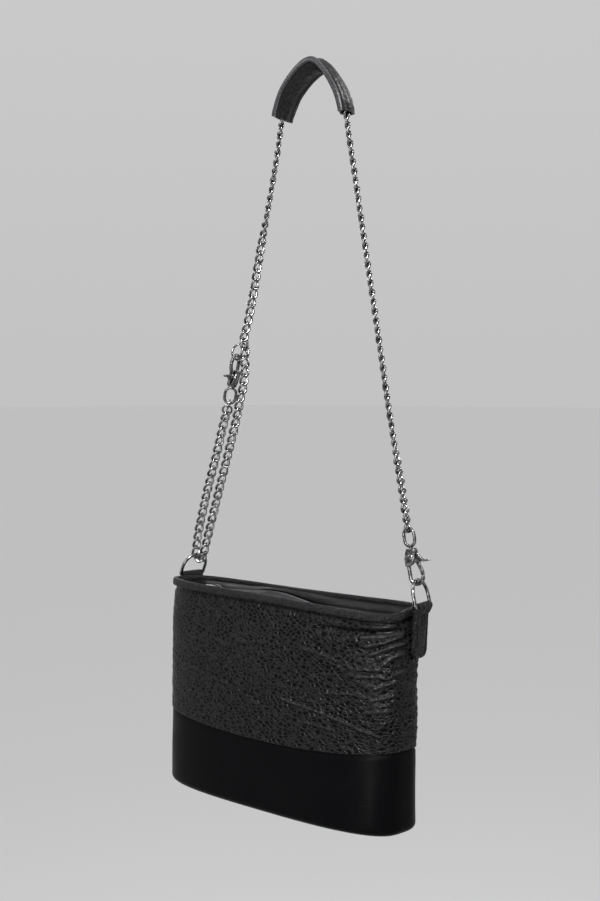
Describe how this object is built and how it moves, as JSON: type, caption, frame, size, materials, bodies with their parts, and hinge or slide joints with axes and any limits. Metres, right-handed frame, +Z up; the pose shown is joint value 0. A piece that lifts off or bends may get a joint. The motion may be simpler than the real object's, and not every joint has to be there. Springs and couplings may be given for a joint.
{
  "type": "leather pouch bag with a curb chain strap and shoulder pad",
  "caption": "Slim upright leather pouch bag with a zip, on a long curb chain strap with trigger snaps and a padded shoulder sleeve.",
  "frame": {"origin": "middle of the shoulder pad's underside at its crown, where the bag hangs on a shoulder or hook", "axes": "+X along the bag towards the snap that clips straight on its ring, +Y towards the bag's back, +Z up"},
  "size_m": [0.319, 0.088, 0.7063],
  "materials": {
    "anchor_link": "polished nickel plate, slightly worn",
    "anchor_ring": "polished nickel plate, slightly worn",
    "chain_lower": "polished nickel plate, slightly worn",
    "chain_upper": "polished nickel plate, slightly worn",
    "clasp_left": "polished nickel plate, slightly worn",
    "clasp_right": "polished nickel plate, slightly worn",
    "d_ring_left": "polished nickel plate, slightly worn",
    "d_ring_right": "polished nickel plate, slightly worn",
    "end_link_left": "polished nickel plate, slightly worn",
    "end_link_right": "polished nickel plate, slightly worn",
    "jump_ring_lower": "polished nickel plate, slightly worn",
    "jump_ring_upper": "polished nickel plate, slightly worn",
    "lever_left": "polished nickel plate, slightly worn",
    "lever_right": "polished nickel plate, slightly worn",
    "lower_body": "smooth black leather, satin",
    "rim_binding": "fine grained black leather",
    "shoulder_pad": "pebbled black leather, satin",
    "swivel_eye_left": "polished nickel plate, slightly worn",
    "swivel_eye_right": "polished nickel plate, slightly worn",
    "tab_left": "fine grained black leather",
    "tab_right": "fine grained black leather",
    "upper_body": "pebbled black leather, satin",
    "zip_puller": "polished nickel plate, slightly worn",
    "zip_slider": "polished nickel plate, slightly worn",
    "zip_strip_back": "smooth black leather, glossy",
    "zip_strip_front": "smooth black leather, glossy",
    "zip_tape": "black woven tape with dark metal teeth"
  },
  "bodies": {
    "bag": {"anchor_link": "anchor_link", "anchor_ring": "anchor_ring", "chain_lower": "chain_lower", "chain_upper": "chain_upper", "clasp_left": "clasp_left", "clasp_right": "clasp_right", "d_ring_left": "d_ring_left", "d_ring_right": "d_ring_right", "end_link_left": "end_link_left", "end_link_right": "end_link_right", "jump_ring_lower": "jump_ring_lower", "jump_ring_upper": "jump_ring_upper", "lower_body": "lower_body", "rim_binding": "rim_binding", "shoulder_pad": "shoulder_pad", "swivel_eye_left": "swivel_eye_left", "swivel_eye_right": "swivel_eye_right", "tab_left": "tab_left", "tab_right": "tab_right", "upper_body": "upper_body", "zip_slider": "zip_slider", "zip_strip_back": "zip_strip_back", "zip_strip_front": "zip_strip_front", "zip_tape": "zip_tape"},
    "lever_left": {"lever_left": "lever_left"},
    "lever_right": {"lever_right": "lever_right"},
    "zip_puller": {"zip_puller": "zip_puller"}
  },
  "joints": [
    {"name": "lever_left_hinge", "type": "hinge", "parent": "bag", "child": "lever_left", "pos_m": [-0.11363, -0.00412, -0.28754], "axis": [-0.9324, -0.2178, 0.2884], "range_deg": [0, 22], "stiffness_Nm_per_rad": 0.02, "springref_deg": -28.65},
    {"name": "lever_right_hinge", "type": "hinge", "parent": "bag", "child": "lever_right", "pos_m": [0.11389, -0.0017, -0.44889], "axis": [-0.2162, 0.9752, -0.0467], "range_deg": [0, 22], "stiffness_Nm_per_rad": 0.02, "springref_deg": -28.65},
    {"name": "zip_puller_hinge", "type": "hinge", "parent": "bag", "child": "zip_puller", "pos_m": [-0.12763, -0.015, -0.49703], "axis": [0, 1, 0], "range_deg": [0, 140]}
  ]
}
